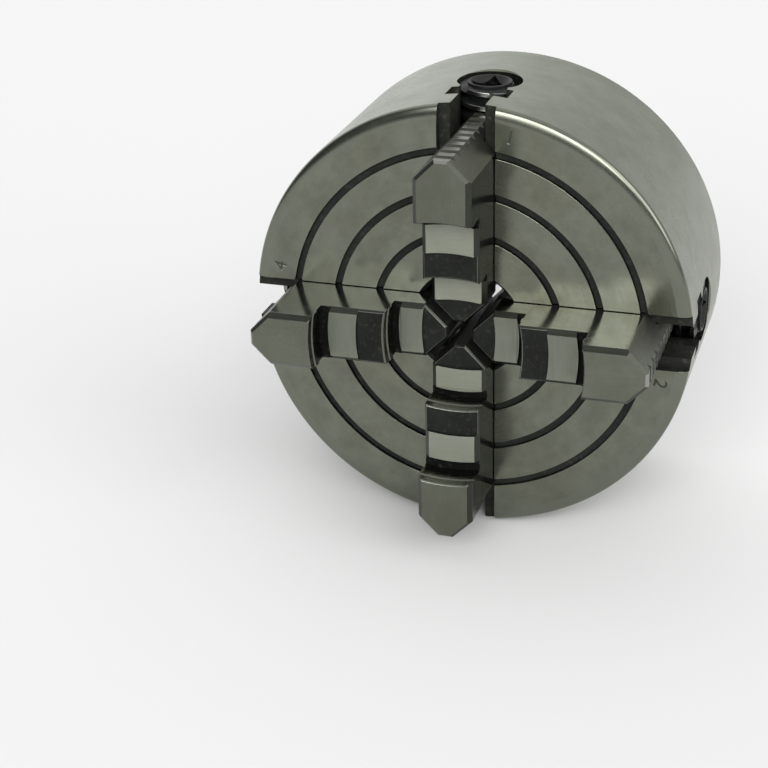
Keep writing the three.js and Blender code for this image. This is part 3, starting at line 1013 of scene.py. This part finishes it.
def screw_finish(centre, normal):
    radius = math.hypot(centre.y, centre.z - SCREW_Z)
    past_bottom = centre.x > SCREW_OUTER_END - SOCKET_DEPTH
    # The socket's walls take black oxide with painted shade, the countersink its oxide.
    if past_bottom and radius < SOCKET_MOUTH_R + SOCKET_BAND and normal.x < MOSTLY:
        return "cone" if normal.x > HALFWAY else "socket"
    if CREST_R - THREAD_SOFTENING < radius < CREST_R - LEVEL:
        return "glint"
    if radius > CREST_R - CREST_BAND:
        return "crest"
    return "oxide"


# ---- Finished pieces ----

# Angles at which an edge is sharp enough to break or to crease, and how small a face can be
SHARP = math.radians(32)
BODY_SHARP = math.radians(50)
CREASE = math.radians(20)
FLAT = math.radians(0.3)
FUSE = 2e-3
SLIVER = 1e-3


def give_finishes(bm, rule, names):
    """Sets each face's material from the rule, and adds the finish to names if it is new."""
    for face in bm.faces:
        name = rule(face.calc_center_median(), face.normal)
        if name not in names:
            names.append(name)
        face.material_index = names.index(name)


def merge_flat(bm, names):
    """Merges flat faces, but for the chuck's face: its rings would fold at their broken edges."""
    merged = [
        edge for edge in bm.edges
        if any(names[face.material_index] != "face" for face in edge.link_faces)
    ]
    bmesh.ops.dissolve_limit(bm, angle_limit=FLAT, verts=[], edges=merged, delimit={"MATERIAL"})
    bm.normal_update()


def mark_sharp(bm, width, sharp, keep):
    """Marks the sharp outer edges that are long enough to be broken."""
    weights = bm.edges.layers.float.new("bevel_weight_edge")
    for edge in bm.edges:
        if len(edge.link_faces) != 2 or edge.calc_length() < 2 * width:
            continue
        centre = (edge.verts[0].co + edge.verts[1].co) / 2
        if edge.calc_face_angle_signed(0) > sharp and keep(centre):
            edge[weights] = 1.0


def break_edges(obj, width):
    bevel = obj.modifiers.new("edges", "BEVEL")
    bevel.limit_method = "WEIGHT"
    bevel.width = width
    bevel.segments = 2
    bevel.use_clamp_overlap = False
    bevel.material = 0
    depsgraph = bpy.context.evaluated_depsgraph_get()
    obj.data = bpy.data.meshes.new_from_object(obj.evaluated_get(depsgraph))
    obj.modifiers.clear()


def blend_edges(bm, rubbed):
    """Broken edges that are not rubbed bright take the finish of the largest face beside them."""
    for face in [f for f in bm.faces if f.material_index == 0]:
        if rubbed(face.calc_center_median()):
            continue
        beside = [f for edge in face.edges for f in edge.link_faces if f.material_index]
        if beside:
            face.material_index = max(beside, key=lambda f: f.calc_area()).material_index


def smooth(bm):
    for face in bm.faces:
        face.smooth = True
    for edge in bm.edges:
        edge.smooth = len(edge.link_faces) == 2 and edge.calc_face_angle(0) < CREASE


def anywhere(centre):
    return True


def nowhere(centre):
    return False


def finished(obj, rule, edge_width, edge_material="edge", keep=anywhere, rubbed=nowhere,
             sharp=SHARP):
    """Gives each face its finish, and breaks the sharp outer edges that keep() accepts."""
    bm = bmesh.new()
    bm.from_mesh(obj.data)
    bmesh.ops.remove_doubles(bm, verts=bm.verts, dist=FUSE)
    bmesh.ops.dissolve_degenerate(bm, edges=bm.edges, dist=SLIVER)
    bm.normal_update()
    names = [edge_material]
    give_finishes(bm, rule, names)
    merge_flat(bm, names)
    mark_sharp(bm, edge_width, sharp, keep)
    obj.data.materials.clear()
    for name in names:
        obj.data.materials.append(MATERIALS[name])
    bm.to_mesh(obj.data)
    bm.free()
    break_edges(obj, edge_width)
    bm = bmesh.new()
    bm.from_mesh(obj.data)
    blend_edges(bm, rubbed)
    smooth(bm)
    bm.to_mesh(obj.data)
    bm.free()
    return obj


TO_ROW = Matrix.Rotation(math.radians(90), 4, "X") @ Matrix.Scale(1 / MM, 4)


def placed(shape, name, node, body, number=None):
    """A copy of a finished shape in its place in the row frame, riding on its body."""
    mesh = shape.data.copy()
    mesh.name = name
    drawn = mesh.attributes.new("at", "FLOAT_VECTOR", "POINT")
    for index, vertex in enumerate(mesh.vertices):
        drawn.data[index].vector = vertex.co
    turn = Matrix.Identity(4)
    if number is not None:
        turn = Matrix.Rotation(math.radians(90 - 90 * (number - 1)), 4, "Z")
    to_row = TO_ROW @ turn
    for label, axis in (("along_jaw", (1, 0, 0)), ("across_jaw", (0, 1, 0))):
        direction = (to_row.to_3x3() @ Vector(axis)).normalized()
        layer = mesh.attributes.new(label, "FLOAT_VECTOR", "POINT")
        layer.data.foreach_set("vector", list(direction) * len(mesh.vertices))
    mesh.transform(to_row)
    obj = bpy.data.objects.new(name, mesh)
    bpy.context.scene.collection.objects.link(obj)
    weighted = obj.modifiers.new("normals", "WEIGHTED_NORMAL")
    weighted.keep_sharp = True
    weighted.weight = 100
    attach(obj, body)
    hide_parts(node)
    return obj


# Where edges are broken, and which of them are rubbed bright, in millimetres
FRONT_BAND = 3
BACK_BAND = 0.5
OUTER_BAND = 2
ABOVE_GUIDE = 0.5
JAW_END_BAND = 3
SCREW_FACE_BAND = 0.5
SOCKET_RIM_BAND = 0.05
PAD_RUB_HEIGHT = 0.15
PAD_RUB_REACH = 1
TOP_RUB_HEIGHT = 0.6
TOP_RUB_REACH = 1.5


def body_edges(centre):
    """The edges at the front, at the back and round the rim, and none inside."""
    radius = math.hypot(centre.x, centre.y)
    at_front = centre.z > BODY_H - FRONT_BAND
    at_back = centre.z < REGISTER_DEPTH + BACK_BAND
    return at_front or at_back or radius > BODY_R - OUTER_BAND


def jaw_edges(centre):
    """The edges above the guide and at the outer end."""
    return centre.z > FLANGE_Z + ABOVE_GUIDE or centre.x > JAW_END_X - JAW_END_BAND


def screw_edges(centre):
    """The edges of the end face and the rim of the socket, and none inside the socket."""
    radius = math.hypot(centre.y, centre.z - SCREW_Z)
    at_end = centre.x > SCREW_OUTER_END - SCREW_FACE_BAND
    return at_end and radius > SOCKET_MOUTH_R - SOCKET_RIM_BAND


def jaw_rubbed(centre):
    """The outlines of the black pads and the tops of the risers are rubbed bright."""
    for land_z, pad_end_x in zip(LAND_Z, PAD_END_X):
        pad_z = land_z - PAD_RELIEF
        if abs(centre.z - pad_z) < PAD_RUB_HEIGHT and centre.x < pad_end_x + PAD_RUB_REACH:
            return True
    at_top = abs(centre.z - LAND_Z[2]) < TOP_RUB_HEIGHT
    return at_top and centre.x < RISER_X[1] + TOP_RUB_REACH


BODY_EDGE = 0.08
JAW_EDGE = 0.07
SCREW_EDGE = 0.12
PLAIN_EDGE = 0.25

body_shape = finished(body_solid(), body_finish, BODY_EDGE, keep=body_edges, sharp=BODY_SHARP)
jaw_shape = finished(jaw_solid(), jaw_finish, JAW_EDGE, keep=jaw_edges, rubbed=jaw_rubbed)
screw_shape = finished(screw_solid(), screw_finish, SCREW_EDGE, "crest", keep=screw_edges)
yoke_shape = finished(yoke_solid(), lambda centre, normal: "plain", PLAIN_EDGE)
plug_shape = finished(plug_solid(), lambda centre, normal: "oxide", PLAIN_EDGE, "crest")

placed(body_shape, "chuck_body_shell", "body", "chuck_body")
for number in STATIONS:
    jaw = f"jaw_{number}"
    screw = f"screw_{number}"
    placed(jaw_shape, f"{jaw}_steel", jaw, f"{jaw}_body", number)
    placed(screw_shape, f"{screw}_steel", screw, f"{screw}_body", number)
    placed(yoke_shape, f"yoke_{number}_steel", f"thrust_yoke_{number}", "chuck_body",
           number)
    placed(plug_shape, f"plug_{number}_steel", f"yoke_plug_{number}", "chuck_body",
           number)
for shape in (body_shape, jaw_shape, screw_shape, yoke_shape, plug_shape):
    discard(shape)


# ---- Floor, light and camera ----

FLOOR_Z = -BODY_R / MM
FLOOR_HALF = 6
PAPER = (0.62, 0.62, 0.62)

# The room's light: a dim front, a pale back wall, a ceiling, and windows given as heading,
# half width, lowest and highest angle in degrees, and strength
ROOM_FRONT = 0.12
BACK_LEFT = 1.1
BACK_RIGHT = 0.7
CEILING = 0.6
WINDOWS = ((7, 24, 16, 44, 8.0), (66, 22, 8, 50, 3.2))
WINDOW_SIDE_FADE = 0.12
WINDOW_BOTTOM_FADE = 0.06
WINDOW_TOP_FADE = 0.1

# The camera, fitted to the photograph
LENS = 81.785
SENSOR = 36
CLIP_START = 0.01
CAMERA_PLACE = (0.11779, -0.48492, 0.19579)
CAMERA_RIGHT = (0.952537, 0.303346, -0.025578)
CAMERA_UP = (-0.109687, 0.420375, 0.900696)
CAMERA_BACK = (0.283975, -0.855141, 0.433696)


def floor():
    mesh = bpy.data.meshes.new("floor")
    half = FLOOR_HALF
    corners = [(-half, -half), (half, -half), (half, half), (-half, half)]
    mesh.from_pydata([(x, y, FLOOR_Z) for x, y in corners], [], [(0, 1, 2, 3)])
    material, nodes = new_material("floor_paper")
    nodes.shader.inputs["Base Color"].default_value = rgba(PAPER)
    nodes.shader.inputs["Roughness"].default_value = 0.9
    nodes.shader.inputs["Specular IOR Level"].default_value = 0.1
    mesh.materials.append(material)
    obj = bpy.data.objects.new("floor", mesh)
    bpy.context.scene.collection.objects.link(obj)


def window(nodes, direction, z, heading, half_width, low, high, strength):
    """A bright window, from its heading off straight ahead and its lowest and highest angle."""
    turn = math.radians(heading)
    beside = nodes.dot(direction, (math.cos(turn), math.sin(turn), 0))
    ahead = nodes.dot(direction, (math.sin(turn), -math.cos(turn), 0))
    side = math.sin(math.radians(half_width))
    bottom = math.sin(math.radians(low))
    top = math.sin(math.radians(high))
    return nodes.product(
        nodes.soft(beside, -side - WINDOW_SIDE_FADE, -side + WINDOW_SIDE_FADE),
        nodes.soft(beside, side + WINDOW_SIDE_FADE, side - WINDOW_SIDE_FADE),
        nodes.soft(z, bottom - WINDOW_BOTTOM_FADE, bottom + WINDOW_BOTTOM_FADE),
        nodes.soft(z, top + WINDOW_TOP_FADE, top - WINDOW_TOP_FADE),
        nodes.soft(ahead, 0.0, 0.2),
        strength,
    )


def studio():
    """A room that is pale behind, most of all on the left, with soft windows in front."""
    world = bpy.data.worlds.new("studio")
    bpy.context.scene.world = world
    world.use_nodes = True
    nodes = Nodes(world.node_tree)
    direction = nodes.add("TexCoord").outputs["Generated"]
    x, y, z = nodes.parts(direction)
    across_back = nodes.ranged(x, -0.6, 0.2, BACK_LEFT, BACK_RIGHT)
    back = nodes.product(nodes.soft(y, -0.3, 0.6), across_back)
    ceiling = nodes.product(nodes.soft(z, 0.6, 0.95), nodes.soft(y, 0.7, 0.2), CEILING)
    light = nodes.math("ADD", nodes.math("ADD", back, ROOM_FRONT), ceiling)
    for settings in WINDOWS:
        light = nodes.math("ADD", light, window(nodes, direction, z, *settings))
    background = world.node_tree.nodes["Background"]
    nodes.feed(background.inputs["Strength"], light)
    background.inputs["Color"].default_value = (1, 1, 1, 1)


def camera():
    data = bpy.data.cameras.new("camera")
    data.lens = LENS
    data.sensor_width = SENSOR
    data.clip_start = CLIP_START
    obj = bpy.data.objects.new("camera", data)
    turn = Matrix((CAMERA_RIGHT, CAMERA_UP, CAMERA_BACK)).transposed().to_4x4()
    obj.matrix_world = Matrix.Translation(CAMERA_PLACE) @ turn
    bpy.context.scene.collection.objects.link(obj)
    bpy.context.scene.camera = obj


floor()
studio()
camera()
bpy.context.scene.view_settings.view_transform = "Standard"
